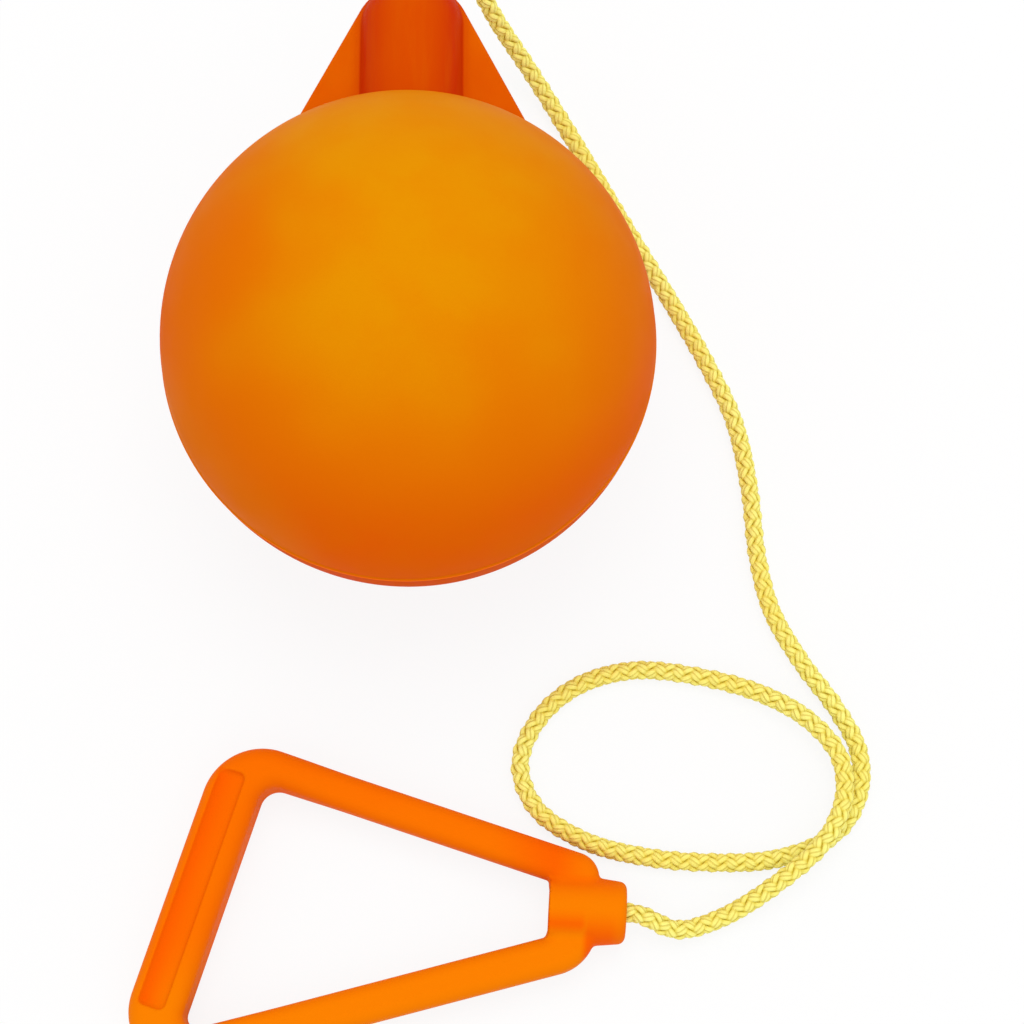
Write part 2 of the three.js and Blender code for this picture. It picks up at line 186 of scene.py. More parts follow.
def camera():
    """A long lens that looks steeply down at the hammer."""
    elevation = math.radians(CAMERA_ELEVATION)
    aim = Vector((ball_centre.x + CAMERA_AIM_SHIFT[0], ball_centre.y + CAMERA_AIM_SHIFT[1], 0))
    data = bpy.data.cameras.new("camera")
    data.sensor_width = 36
    data.lens = CAMERA_LENS
    data.clip_start = 0.01
    data.clip_end = 20
    view = bpy.data.objects.new("camera", data)
    view.location = aim + CAMERA_DISTANCE * Vector((0, -math.cos(elevation), math.sin(elevation)))
    view.rotation_euler = (math.radians(90) - elevation, 0, 0)
    bpy.context.scene.collection.objects.link(view)
    bpy.context.scene.camera = view


def piece(name, vertices, faces, body, material, normals=None):
    """A smooth mesh, with its vertices in the frame of the part, that rides on a body."""
    mesh = bpy.data.meshes.new(name)
    mesh.from_pydata(np.asarray(vertices).tolist(), [], [tuple(f) for f in faces])
    mesh.shade_smooth()
    if normals is not None:
        mesh.normals_split_custom_set_from_vertices(normals.tolist())
    mesh.materials.append(material)
    shown = bpy.data.objects.new(name, mesh)
    bpy.context.scene.collection.objects.link(shown)
    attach(shown, body)
    return shown


def store(mesh, name, values):
    """Keeps a value for each vertex, for a material to read."""
    stored = mesh.attributes.new(name, "FLOAT", "POINT")
    stored.data.foreach_set("value", np.asarray(values, np.float32).ravel())


# Looks

ORANGE_GLOSS = (1, 0.3, 0.02)


class Nodes:
    """The node tree of a new material, with short calls for the nodes that it uses."""

    def __init__(self, name):
        self.material = bpy.data.materials.new(name)
        self.material.use_nodes = True
        self.tree = self.material.node_tree
        self.shader = self.tree.nodes["Principled BSDF"]
        coordinates = self.tree.nodes.new("ShaderNodeTexCoord")
        self.place = coordinates.outputs["Object"]
        self.normal = coordinates.outputs["Normal"]

    def link(self, source, socket):
        self.tree.links.new(source, socket)

    def put(self, value, socket):
        """Links a node's output to the socket, or sets the socket to a plain value."""
        if isinstance(value, (int, float)):
            socket.default_value = value
        elif isinstance(value, tuple):
            socket.default_value = (*value, 1)
        else:
            self.link(value, socket)

    def surface(self, colour, roughness, normal, specular=0.5, gloss=(1, 1, 1)):
        """Sets the shader's sockets and gives the material back."""
        self.put(colour, self.shader.inputs["Base Color"])
        self.put(roughness, self.shader.inputs["Roughness"])
        self.put(normal, self.shader.inputs["Normal"])
        self.shader.inputs["Specular IOR Level"].default_value = specular
        self.put(gloss, self.shader.inputs["Specular Tint"])
        return self.material

    def along(self, source, direction):
        """The part of a vector that lies along a direction."""
        node = self.tree.nodes.new("ShaderNodeVectorMath")
        node.operation = "DOT_PRODUCT"
        self.link(source, node.inputs[0])
        node.inputs[1].default_value = direction
        return node.outputs["Value"]

    def facing(self, direction):
        """How far the surface faces a direction of the piece itself, from -1 to 1."""
        return self.along(self.normal, direction)

    def reach(self, direction):
        """How far a place of the piece itself lies along a direction, in metres."""
        return self.along(self.place, direction)

    def noise(self, scale, detail=3.0, roughness=0.5, place=None):
        node = self.tree.nodes.new("ShaderNodeTexNoise")
        node.inputs["Scale"].default_value = scale
        node.inputs["Detail"].default_value = detail
        node.inputs["Roughness"].default_value = roughness
        self.link(place or self.place, node.inputs["Vector"])
        return node.outputs["Fac"]

    def stretched(self, scale, source=None):
        node = self.tree.nodes.new("ShaderNodeMapping")
        node.inputs["Scale"].default_value = scale
        self.link(source or self.place, node.inputs["Vector"])
        return node.outputs["Vector"]

    def remap(self, value, low, high, to_low=0.0, to_high=1.0):
        node = self.tree.nodes.new("ShaderNodeMapRange")
        node.interpolation_type = "SMOOTHSTEP"
        node.inputs["From Min"].default_value = low
        node.inputs["From Max"].default_value = high
        node.inputs["To Min"].default_value = to_low
        node.inputs["To Max"].default_value = to_high
        self.link(value, node.inputs["Value"])
        return node.outputs["Result"]

    def times(self, a, b):
        node = self.tree.nodes.new("ShaderNodeMath")
        node.operation = "MULTIPLY"
        self.put(a, node.inputs[0])
        self.put(b, node.inputs[1])
        return node.outputs["Value"]

    def mix(self, share, a, b):
        node = self.tree.nodes.new("ShaderNodeMix")
        node.data_type = "RGBA"
        self.put(share, node.inputs[0])
        self.put(a, node.inputs[6])
        self.put(b, node.inputs[7])
        return node.outputs[2]

    def bump(self, height, distance, strength=1.0, below=None):
        node = self.tree.nodes.new("ShaderNodeBump")
        node.inputs["Strength"].default_value = strength
        node.inputs["Distance"].default_value = distance
        self.link(height, node.inputs["Height"])
        if below:
            self.link(below, node.inputs["Normal"])
        return node.outputs["Normal"]

    def attribute(self, name):
        node = self.tree.nodes.new("ShaderNodeAttribute")
        node.attribute_name = name
        return node.outputs["Fac"]

    def uv(self, name):
        node = self.tree.nodes.new("ShaderNodeUVMap")
        node.uv_map = name
        return node.outputs["UV"]

    def across(self, name):
        """The second coordinate of a layer of coordinates."""
        node = self.tree.nodes.new("ShaderNodeSeparateXYZ")
        self.link(self.uv(name), node.inputs[0])
        return node.outputs["Y"]


def soft_ball_material():
    """Soft vinyl: golden orange on top as painted light from above, deeper towards the sides and redder
    below the parting line as painted shade, with a painted highlight on the parting line's bead, a painted
    reflection on the lower left rim, and broad faint blotches all over."""
    shaded_side_orange = (0.735, 0.108, 0.0004)
    lit_top_gold = (0.68, 0.252, 0.0006)
    shaded_flank_orange = (0.71, 0.11, 0.0004)
    painted_reflection_gold = (0.72, 0.19, 0.0006)
    shaded_lower_red = (0.67, 0.072, 0.0004)
    blotch_orange = (0.69, 0.122, 0.0004)
    patch_orange = (0.69, 0.15, 0.0004)
    grain_brown = (0.56, 0.11, 0.0004)
    bead_highlight_orange = (0.95, 0.19, 0.002)
    painted_light_direction = (0.07, 0.24, 0.97)
    reflection_direction = (-0.8, -0.6, 0.05)
    shaded_flanks = (((-0.72, 0.08, 0.69), 0.55), ((0.74, 0.0, 0.67), 0.35))
    n = Nodes("soft_ball")
    lit_top_share = n.remap(n.facing(painted_light_direction), 0.1, 1.0)
    blotches = n.remap(n.noise(15, 2.0, 0.45), 0.38, 0.68)
    patches = n.remap(n.noise(48, 3.0, 0.55), 0.35, 0.7)
    grain = n.noise(520, 2.0, 0.6)
    level = n.reach((0, 0, 1))
    seam = ball_centre.z
    below = n.remap(level, seam - 0.001, seam - 0.0004, 1, 0)
    bead = n.times(n.remap(level, seam - 0.0012, seam - 0.0004), n.remap(level, seam, seam + 0.0012, 1, 0))
    # Painted light from above: lighter gold where the ball faces up, deeper orange as painted shade on the
    # sides.
    colour = n.mix(lit_top_share, shaded_side_orange, lit_top_gold)
    # Painted shade on the left and right flanks.
    for direction, share in shaded_flanks:
        colour = n.mix(n.remap(n.facing(direction), 0.92, 1.0, 0, share), colour, shaded_flank_orange)
    # Painted reflection: lighter gold on the lower left rim.
    colour = n.mix(n.remap(n.facing(reflection_direction), 0.78, 0.98, 0, 0.6), colour, painted_reflection_gold)
    # Painted shade: redder below the parting line.
    colour = n.mix(below, colour, shaded_lower_red)
    colour = n.mix(n.times(blotches, 0.45), colour, blotch_orange)
    colour = n.mix(n.times(patches, 0.2), colour, patch_orange)
    colour = n.mix(n.times(grain, 0.08), colour, grain_brown)
    # Painted highlight on the bead of the parting line.
    colour = n.mix(bead, colour, bead_highlight_orange)
    dimples = n.bump(n.noise(900, 2.0, 0.5), 0.00004)
    waves = n.bump(n.noise(60, 2.0, 0.5), 0.0002, 0.4, dimples)
    return n.surface(colour, n.remap(patches, 0, 1, 0.5, 0.6), waves, 0.01, ORANGE_GLOSS)


def neck_material():
    """The same vinyl in a deeper red orange, with painted light making the up-facing surfaces and the wings
    lighter, painted shade on the sides, and faint streaks along the neck.
    """
    shaded_side_red = (0.55, 0.026, 0.0003)
    lit_top_red = (0.6, 0.066, 0.0005)
    lit_wing_orange = (0.685, 0.112, 0.0005)
    cloud_red = (0.6, 0.05, 0.0003)
    streak_orange = (0.63, 0.1, 0.0005)
    n = Nodes("neck_vinyl")
    lit_top_share = n.remap(n.facing((0, 0, 1)), 0.55, 1.0)
    streaks = n.noise(1, 3.0, 0.55, n.stretched((210, 26, 210)))
    clouds = n.noise(55, 2.0, 0.5)
    # Painted light from above on the collar, and painted shade on its sides.
    colour = n.mix(lit_top_share, shaded_side_red, lit_top_red)
    # Painted light: the wings lighter.
    colour = n.mix(n.attribute("wing"), colour, lit_wing_orange)
    colour = n.mix(n.times(n.remap(clouds, 0.35, 0.68), 0.3), colour, cloud_red)
    colour = n.mix(n.times(n.remap(streaks, 0.4, 0.7), 0.25), colour, streak_orange)
    skin = n.bump(n.noise(700, 2.0, 0.5), 0.00004)
    return n.surface(colour, n.remap(streaks, 0.3, 0.7, 0.4, 0.52), skin, 0.012, ORANGE_GLOSS)


def handle_material():
    """Moulded polypropylene: bright orange, deeper on the grip and the upper arm, with painted shade that
    makes the channel and the sides of the boss redder."""
    far_orange = (0.86, 0.15, 0.0006)
    near_orange = (0.85, 0.2, 0.0006)
    flow_orange = (0.85, 0.185, 0.0006)
    channel_shade_red = (0.86, 0.108, 0.0006)
    boss_shade_red = (0.86, 0.092, 0.0006)
    speck_brown = (0.7, 0.11, 0.0006)
    n = Nodes("handle_plastic")
    towards_boss = boss_axis - 3 * boss_side
    tip = boss_tip.dot(towards_boss)
    bright = n.remap(n.reach(towards_boss), tip - 0.11, tip - 0.02)
    flow = n.noise(1, 2.0, 0.5, n.stretched((14, 24, 24)))
    specks = n.noise(420, 2.0, 0.6)
    colour = n.mix(bright, far_orange, near_orange)
    colour = n.mix(n.times(n.remap(flow, 0.36, 0.66), 0.3), colour, flow_orange)
    # Painted shade in the channel, redder down in it and towards its outer side.
    colour = n.mix(n.attribute("painted_channel_shade"), colour, channel_shade_red)
    # Painted shade on the sides of the boss, beside its lit line.
    colour = n.mix(n.attribute("painted_boss_shade"), colour, boss_shade_red)
    colour = n.mix(n.times(specks, 0.05), colour, speck_brown)
    skin = n.bump(n.noise(1100, 2.0, 0.5), 0.00002)
    waves = n.bump(n.noise(110, 2.0, 0.5), 0.00008, 0.6, skin)
    return n.surface(colour, n.remap(flow, 0.3, 0.7, 0.4, 0.48), waves, 0.015, ORANGE_GLOSS)


def rope_material():
    """Braided polypropylene: strands of two yarns in fine yellow filaments, with painted shade in deeper
    gold between the strands and between the yarns.
    """
    crevice_shade_gold = (0.63, 0.46, 0.016)
    strand_yellow = (0.97, 0.93, 0.26)
    wear_gold = (0.9, 0.7, 0.09)
    filament_gold = (0.92, 0.78, 0.11)
    groove_shade_gold = (0.66, 0.44, 0.02)
    rope_gloss = (1, 0.9, 0.5)
    n = Nodes("yellow_rope")
    filaments = n.noise(3.0, 3.0, 0.6, n.stretched((0.12, 14, 1), n.uv("strand")))
    wear = n.remap(n.noise(22, 2.0, 0.5), 0.4, 0.65)
    yarns = n.remap(n.across("strand"), 0.0, 0.05)
    outer = n.remap(n.attribute("depth"), 0.68, 0.96)
    # Painted shade: deeper gold down between the strands.
    colour = n.mix(outer, crevice_shade_gold, strand_yellow)
    colour = n.mix(n.times(wear, 0.35), colour, wear_gold)
    colour = n.mix(n.times(filaments, 0.25), colour, filament_gold)
    # Painted shade in the groove between a strand's two yarns.
    colour = n.mix(n.remap(yarns, 0, 1, 0.45, 0), colour, groove_shade_gold)
    fibres = n.bump(yarns, 0.0002, 1.0, n.bump(filaments, 0.0001))
    return n.surface(colour, n.remap(filaments, 0.3, 0.7, 0.42, 0.6), fibres, 0.2, rope_gloss)


def melted_material():
    """The rope's melted end: darker, glassy and uneven."""
    clear_gold = (0.8, 0.58, 0.08)
    burnt_brown = (0.42, 0.2, 0.02)
    n = Nodes("melted_rope")
    clouds = n.noise(350, 3.0, 0.6)
    colour = n.mix(n.remap(clouds, 0.35, 0.7), clear_gold, burnt_brown)
    return n.surface(colour, n.remap(clouds, 0.3, 0.7, 0.2, 0.42), n.bump(clouds, 0.0003))


def zinc_material():
    """Zinc-plated steel with a faint spangle."""
    dark_grey = (0.42, 0.43, 0.45)
    light_grey = (0.66, 0.67, 0.68)
    n = Nodes("zinc")
    spangle = n.noise(420, 2.0, 0.6)
    n.shader.inputs["Metallic"].default_value = 1.0
    colour = n.mix(spangle, dark_grey, light_grey)
    return n.surface(colour, n.remap(spangle, 0.3, 0.7, 0.26, 0.42), n.bump(spangle, 0.00002))


# Rope

STRANDS_EACH_WAY = 4
STRAND_SIDES = 8
STEPS_PER_CROSSING = 10
LAY_SHARE = 3.7
STRAND_THICKNESS_SHARE = 0.27
STRAND_WIDTH_SHARE = 0.45
WAVE_SHARE = 0.2
CORE_SHARE = 0.45
ROLL_LENGTH = 0.52
ROUTE_STEPS_PER_SPAN = 60
KNOT_STEPS = 200


def smooth_curve(points, per_span):
    """Points along the centripetal Catmull-Rom curve through the given points."""
    points = np.array(points, float)
    ends = np.vstack([2 * points[0] - points[1], points, 2 * points[-1] - points[-2]])
    drawn = []
    for i in range(1, len(ends) - 2):
        p0, p1, p2, p3 = ends[i - 1 : i + 3]
        t1 = math.sqrt(np.linalg.norm(p1 - p0))
        t2 = t1 + math.sqrt(np.linalg.norm(p2 - p1))
        t3 = t2 + math.sqrt(np.linalg.norm(p3 - p2))
        t = np.linspace(t1, t2, per_span, endpoint=False)[:, None]
        a1 = (t1 - t) / t1 * p0 + t / t1 * p1
        a2 = (t2 - t) / (t2 - t1) * p1 + (t - t1) / (t2 - t1) * p2
        a3 = (t3 - t) / (t3 - t2) * p2 + (t - t2) / (t3 - t2) * p3
        b1 = (t2 - t) / t2 * a1 + t / t2 * a2
        b2 = (t3 - t) / (t3 - t1) * a2 + (t - t1) / (t3 - t1) * a3
        drawn.append((t2 - t) / (t2 - t1) * b1 + (t - t1) / (t2 - t1) * b2)
    return np.vstack([*drawn, points[-1:]])


def spaced(points, step):
    """The same line with points at equal distances, and its length."""
    reach = np.concatenate([[0], np.cumsum(np.linalg.norm(np.diff(points, axis=0), axis=1))])
    places = np.linspace(0, reach[-1], max(2, round(reach[-1] / step) + 1))
    return np.stack([np.interp(places, reach, points[:, k]) for k in range(3)], 1), reach[-1]


def unit(vectors):
    """The same directions with a length of one."""
    return vectors / np.linalg.norm(vectors, axis=-1, keepdims=True)


def carried_frames(path):
    """Two directions across a line that turn about it as little as they can."""
    off_the_line = (0.3, 0.1, 0.95)
    along = unit(np.gradient(path, axis=0))
    across = np.zeros_like(along)
    first = np.cross(along[0], off_the_line)
    across[0] = first / np.linalg.norm(first)
    for i in range(1, len(path)):
        turned = across[i - 1] - along[i] * (across[i - 1] @ along[i])
        across[i] = turned / np.linalg.norm(turned)
    return across, np.cross(along, across)


def tube_faces(first, stations, sides):
    """Quads round a tube of rings, with a face at each end."""
    faces = []
    for i in range(stations - 1):
        low = first + i * sides
        for j in range(sides):
            k = (j + 1) % sides
            faces.append((low + j, low + k, low + sides + k, low + sides + j))
    last = first + (stations - 1) * sides
    faces.append(tuple(first + j for j in reversed(range(sides))))
    faces.append(tuple(last + j for j in range(sides)))
    return faces


def braid(path, diameter):
    """Rings of vertices for each strand of a rope of eight strands, and where each ring lies."""
    lay = LAY_SHARE * diameter
    radius = diameter / 2
    path, length = spaced(path, lay / STRANDS_EACH_WAY / STEPS_PER_CROSSING)
    across, upward = carried_frames(path)
    reach = np.linspace(0, length, len(path))
    thick = STRAND_THICKNESS_SHARE * radius
    wide = STRAND_WIDTH_SHARE * radius
    wave = WAVE_SHARE * radius
    sides = 2 * np.pi * np.arange(STRAND_SIDES) / STRAND_SIDES
    strands = []
    for way in (1, -1):
        for strand in range(STRANDS_EACH_WAY):
            turn = way * 2 * np.pi * reach / lay + strand * 2 * np.pi / STRANDS_EACH_WAY
            lift = radius - thick - wave + way * wave * np.cos(STRANDS_EACH_WAY * turn)
            rolled = turn + 2 * np.pi * reach / ROLL_LENGTH
            outward = np.cos(rolled)[:, None] * across + np.sin(rolled)[:, None] * upward
            centre = path + lift[:, None] * outward
            along = unit(np.gradient(centre, axis=0))
            out = unit(outward - along * np.sum(outward * along, axis=1)[:, None])
            side = np.cross(along, out)
            strands.append(
                centre[:, None]
                + thick * np.cos(sides)[None, :, None] * out[:, None]
                + wide * np.sin(sides)[None, :, None] * side[:, None]
            )
    core = path[:, None] + CORE_SHARE * radius * (
        np.cos(sides)[None, :, None] * across[:, None] + np.sin(sides)[None, :, None] * upward[:, None]
    )
    strands.append(core)
    return np.array(strands), path, reach / radius


def braided_piece(name, line, diameter, body, material):
    """A piece of braided rope along a line, with strand coordinates and depths for its material."""
    strands, path, reach = braid(line, diameter)
    count, stations, sides, _ = strands.shape
    faces = []
    for strand in range(count):
        faces += tube_faces(strand * stations * sides, stations, sides)
    made = piece(name, strands.reshape(-1, 3), faces, body, material)
    mesh = made.data
    depth = np.linalg.norm(strands - path[None, :, None], axis=-1) / (diameter / 2)
    # Depths for the painted shade that the material puts down between the strands.
    store(mesh, "depth", depth)
    places = np.empty((count, stations, sides, 2), np.float32)
    places[..., 0] = reach[None, :, None] + np.arange(count)[:, None, None]
    places[..., 1] = (0.5 - np.abs(np.arange(sides) / sides - 0.5))[None, None]
    corner_vertex = np.zeros(len(mesh.loops), np.int32)
    mesh.loops.foreach_get("vertex_index", corner_vertex)
    layer = mesh.uv_layers.new(name="strand")
    layer.data.foreach_set("uv", places.reshape(-1, 2)[corner_vertex].ravel())
    return made


def along_boss(distance):
    """A point on the boss's axis, from the ball's centre."""
    return tuple(boss_tip + distance * boss_axis - ball_centre)


def rope_route():
    """The rope's route from the ball's centre: out of the neck, down to the ground, round one loop that
    passes over its own start in a low hump, and into the handle's boss. The part's source has the same."""
    lie = -ball_centre.z + ROPE_DIAMETER / 2 + ROPE_GROUND_GAP
    over = lie + ROPE_DIAMETER + ROPE_CLEARANCE
    return [
        (0, washer_face, 0),
        (0, neck_mouth + NECK_STRAIGHT_RUN, 0),
        (0.002, 0.149, -0.0024),
        (0.0085, 0.158, -0.013),
        (0.018, 0.1545, -0.031),
        (0.029, 0.143, -0.052),
        (0.041, 0.131, -0.068),
        (0.052, 0.116, -0.0764),
        (0.0714, 0.0815, -0.078),
        (0.1056, 0.019, lie),
        (0.1158, -0.0045, lie),
        (0.1207, -0.03, lie),
        (0.1229, -0.055, lie),
        (0.1276, -0.0754, lie),
        (0.1379, -0.0944, lie),
        (0.1491, -0.1102, lie),
        (0.1565, -0.125, lie),
        (0.157, -0.138, lie),
        (0.152, -0.15, lie),
        (0.142, -0.1585, lie),
        (0.125, -0.164, lie),
        (0.104, -0.165, lie),
        (0.082, -0.1632, lie),
        (0.06, -0.1575, lie),
        (0.043, -0.146, lie),
        (0.0374, -0.131, lie),
        (0.0434, -0.1152, lie),
        (0.057, -0.103, lie),
        (0.077, -0.097, lie),
        (0.1, -0.099, lie),
        (0.1223, -0.1054, -0.0769),
        (0.1387, -0.1154, -0.0737),
        (0.1488, -0.1287, -0.071),
        (0.15, -0.143, over),
        (0.143, -0.158, over),
        (0.126, -0.1729, -0.0728),
        (0.1065, -0.1844, -0.077),
        (0.0914, -0.1884, -0.0752),
        along_boss(HANDLE_STRAIGHT_RUN),
        along_boss(handle_washer_face),
    ]


def rope(material):
    """The braided rope from the washer in the neck to the washer in the boss."""
    route = smooth_curve(rope_route(), ROUTE_STEPS_PER_SPAN) + np.array(ball_centre)
    made = braided_piece("braided_rope", route, ROPE_DIAMETER, "rope", material)
    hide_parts("rope")


def stopper_knot(material):
    """Three tight turns of the same rope, wound on its own end inside the neck."""
    end_reach = ROPE_DIAMETER / 2 + FIT_GAP
    winding_radius = KNOT_RADIUS - end_reach
    turns = KNOT_TURNS - KNOT_OPEN_TURN
    pitch = (KNOT_LENGTH - 2 * end_reach) / turns
    angle = np.linspace(0, 2 * np.pi * turns, KNOT_STEPS)
    line = np.stack(
        [
            winding_radius * np.cos(angle),
            knot_face - end_reach - pitch * angle / (2 * np.pi),
            winding_radius * np.sin(angle),
        ],
        1,
    )
    line += np.array(ball_centre)
    made = braided_piece("stopper_knot", line, ROPE_DIAMETER, "rope", material)
    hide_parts("neck_rope_knot")
    return made


def melted_end(material):
    """The rope's end, melted and spread to an uneven bead in the boss's pocket."""
    radius = BOSS_POCKET_RADIUS - FIT_GAP - STOP_SHRINKAGE
    bottom = -STOP_LENGTH + STOP_SHRINKAGE
    lobes = 3
    lobe_twist = 900
    profile = rounded_profile(radius, bottom, 0, STOP_END_ROUND, STOP_FACE_ROUND)
    vertices, faces = lathe(profile, STOP_SEGMENTS)
    spin = np.arctan2(vertices[:, 1], vertices[:, 0])
    wave = 0.5 + 0.5 * np.sin(lobes * spin + lobe_twist * vertices[:, 2])
    uneven = 1 - STOP_UNEVEN_SHARE * wave
    vertices[:, :2] *= uneven[:, None]
    places = on_boss(np.stack([vertices[:, 2] + stop_face, vertices[:, 0], vertices[:, 1]], 1))
    made = piece("melted_rope_end", places, faces, "rope", material)
    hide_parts("handle_rope_stop")
    return made


# Turned shapes

PROFILE_STEPS = 8
BALL_SEGMENTS = 192
BALL_RINGS = 60
BEAD_RINGS = 9
FIRST_RING_ANGLE = 0.02
RIM_GAP = 0.00005


def rounded_profile(radius, bottom, top, bottom_round, top_round):
    """The outline of a solid cylinder with round rims, from the axis at its bottom to that at its top."""
    quarter = np.linspace(0, np.pi / 2, PROFILE_STEPS)
    sine, cosine = np.sin(quarter), np.cos(quarter)
    low = np.stack([radius - bottom_round + bottom_round * sine, bottom + bottom_round * (1 - cosine)], 1)
    high = np.stack([radius - top_round + top_round * cosine, top - top_round * (1 - sine)], 1)
    return np.vstack([[(0, bottom)], low, high, [(0, top)]])


def lathe(profile, segments):
    """A closed surface turned about Z from (radius, height) points that start and end on the axis."""
    profile = np.asarray(profile, float)
    angles = 2 * np.pi * np.arange(segments) / segments
    rings = profile[1:-1]
    body = np.stack(
        [
            rings[:, 0, None] * np.cos(angles),
            rings[:, 0, None] * np.sin(angles),
            np.repeat(rings[:, 1, None], segments, 1),
        ],
        -1,
    ).reshape(-1, 3)
    count = len(rings)
    first = count * segments
    last = first + 1
    vertices = np.vstack([body, (0, 0, profile[0, 1]), (0, 0, profile[-1, 1])])
    faces = []
    for i in range(count - 1):
        low = i * segments
        high = low + segments
        for j in range(segments):
            k = (j + 1) % segments
            faces.append((low + j, low + k, high + k, high + j))
    top_ring = first - segments
    for j in range(segments):
        k = (j + 1) % segments
        faces.append((first, k, j))
        faces.append((last, top_ring + j, top_ring + k))
    return vertices, faces


def bead_rise(level):
    """How far the bead of the parting line stands out of the ball, at a level above or below the line."""
    return bead_height * np.sqrt(np.clip(1 - (level / (2 * SEAM_BEAD_HALF_WIDTH)) ** 2, 0, 1))


def ball_half(name, node, side, material):
    """A half shell with the raised bead of its parting line, open where the neck comes through."""
    inner_radius = ball_radius - BALL_WALL
    bead_levels = np.linspace(0, 2 * SEAM_BEAD_HALF_WIDTH, BEAD_RINGS)
    ball_levels = ball_radius * np.sin(np.linspace(FIRST_RING_ANGLE, np.pi / 2, BALL_RINGS))
    levels = np.concatenate([bead_levels, ball_levels])
    outside = np.sqrt(np.maximum(ball_radius**2 - levels**2, 0)) + bead_rise(levels)
    wall = inner_radius + TONGUE_THICKNESS
    if side < 0:
        step = [(wall, RIM_GAP), (wall, -TONGUE_HEIGHT), (inner_radius, -TONGUE_HEIGHT)]
        start = 0
    else:
        wall += FIT_GAP
        top = TONGUE_HEIGHT + FIT_GAP
        step = [(wall, RIM_GAP), (wall, top), (math.sqrt(inner_radius**2 - top**2), top)]
        start = math.asin(top / inner_radius)
    inside = np.linspace(start, np.pi / 2, BALL_RINGS // 2)[1:]
    profile = np.vstack(
        [
            np.stack([outside, levels + RIM_GAP], 1)[::-1],
            step,
            np.stack([inner_radius * np.cos(inside), inner_radius * np.sin(inside)], 1),
        ]
    )
    profile[0, 0] = 0
    profile[-1, 0] = 0
    vertices, faces = lathe(profile, BALL_SEGMENTS)
    vertices[:, 2] *= side
    if side > 0:
        faces = [tuple(reversed(face)) for face in faces]
    vertices += np.array(ball_centre)
    vertices[:, 2] = np.maximum(vertices[:, 2], 0)
    made = piece(name, vertices, faces, "ball", material)
    open_for_neck(made)
    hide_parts(node)
    return made


def open_for_neck(shell):
    """Cuts the round hole that the neck comes through."""
    hole_sides = 128
    sharp_angle = math.radians(40)
    bpy.ops.mesh.primitive_cylinder_add(
        vertices=hole_sides,
        radius=NECK_RADIUS + FIT_GAP,
        depth=ball_radius,
        location=ball_centre + Vector((0, flange_bottom + ball_radius / 2, 0)),
        rotation=(math.pi / 2, 0, 0),
    )
    drill = bpy.context.object
    cut = shell.modifiers.new("neck_hole", "BOOLEAN")
    cut.object = drill
    cut.solver = "EXACT"
    graph = bpy.context.evaluated_depsgraph_get()
    shell.data = bpy.data.meshes.new_from_object(shell.evaluated_get(graph))
    shell.modifiers.clear()
    bpy.data.objects.remove(drill)
    shell.data.set_sharp_from_angle(angle=sharp_angle)


# Mouldings, each made from a field that is negative inside

GRID_STEP = 0.0007
GRID_MARGIN = 0.002
SMOOTHING_ROUNDS = 3
SLOPE_REACH = 0.00005
LEAST_SLOPE = 0.05


def surface(field, low, high):
    """Vertices, quads and normals where a field is zero, from a grid of cells."""
    low = np.array(low, float)
    counts = np.ceil((np.array(high) - low) / GRID_STEP).astype(int) + 1
    axes = [low[k] + GRID_STEP * np.arange(counts[k]) for k in range(3)]
    slab = np.stack(np.meshgrid(*axes[1:], indexing="ij"), -1).reshape(-1, 2)
    values = np.stack(
        [field(np.column_stack([np.full(len(slab), x), slab])).reshape(counts[1:]) for x in axes[0]]
    )
    cells = counts - 1
    offsets = np.zeros((*cells, 3))
    hits = np.zeros(cells)
    quads = []
    for k in range(3):
        a, b = [m for m in range(3) if m != k]
        first = values.take(range(cells[k]), axis=k)
        second = values.take(range(1, counts[k]), axis=k)
        crossing = (first < 0) != (second < 0)
        share = np.where(crossing, first / np.where(crossing, first - second, 1), 0)
        for da in (0, 1):
            for db in (0, 1):
                window = [slice(None)] * 3
                window[a] = slice(da, cells[a] + da)
                window[b] = slice(db, cells[b] + db)
                window = tuple(window)
                met = crossing[window]
                hits += met
                offsets[..., k] += share[window] * met
                offsets[..., a] += da * met
                offsets[..., b] += db * met
        places = np.argwhere(crossing)
        across = places[:, [a, b]]
        places = places[((across > 0) & (across < cells[[a, b]])).all(axis=1)]
        around = []
        for da, db in ((-1, -1), (0, -1), (0, 0), (-1, 0)):
            corner = places.copy()
            corner[:, a] += da
            corner[:, b] += db
            around.append(np.ravel_multi_index(corner.T, cells))
        around = np.stack(around, 1)
        backward = (first[tuple(places.T)] >= 0) != (k == 1)
        around[backward] = around[backward][:, ::-1]
        quads.append(around)
    used = hits.ravel() > 0
    number = np.cumsum(used) - 1
    index = np.argwhere(hits > 0)
    vertices = low + GRID_STEP * (index + offsets[hits > 0] / hits[hits > 0][:, None])
    faces = number[np.vstack(quads)]
    for _ in range(SMOOTHING_ROUNDS):
        vertices = onto_zero(field, neighbour_means(vertices, faces))
    vertices = onto_zero(field, vertices)
    return vertices, faces, unit(slope(field, vertices))


def slope(field, points):
    """The field's gradient, by small differences."""
    rises = [field(points + step) - field(points - step) for step in SLOPE_REACH * np.eye(3)]
    return np.stack(rises, 1) / (2 * SLOPE_REACH)


def onto_zero(field, points):
    """The points moved along the field's slope until they lie on its zero."""
    for _ in range(2):
        rise = slope(field, points)
        points = points - (field(points) / np.maximum((rise**2).sum(1), LEAST_SLOPE))[:, None] * rise
    return points


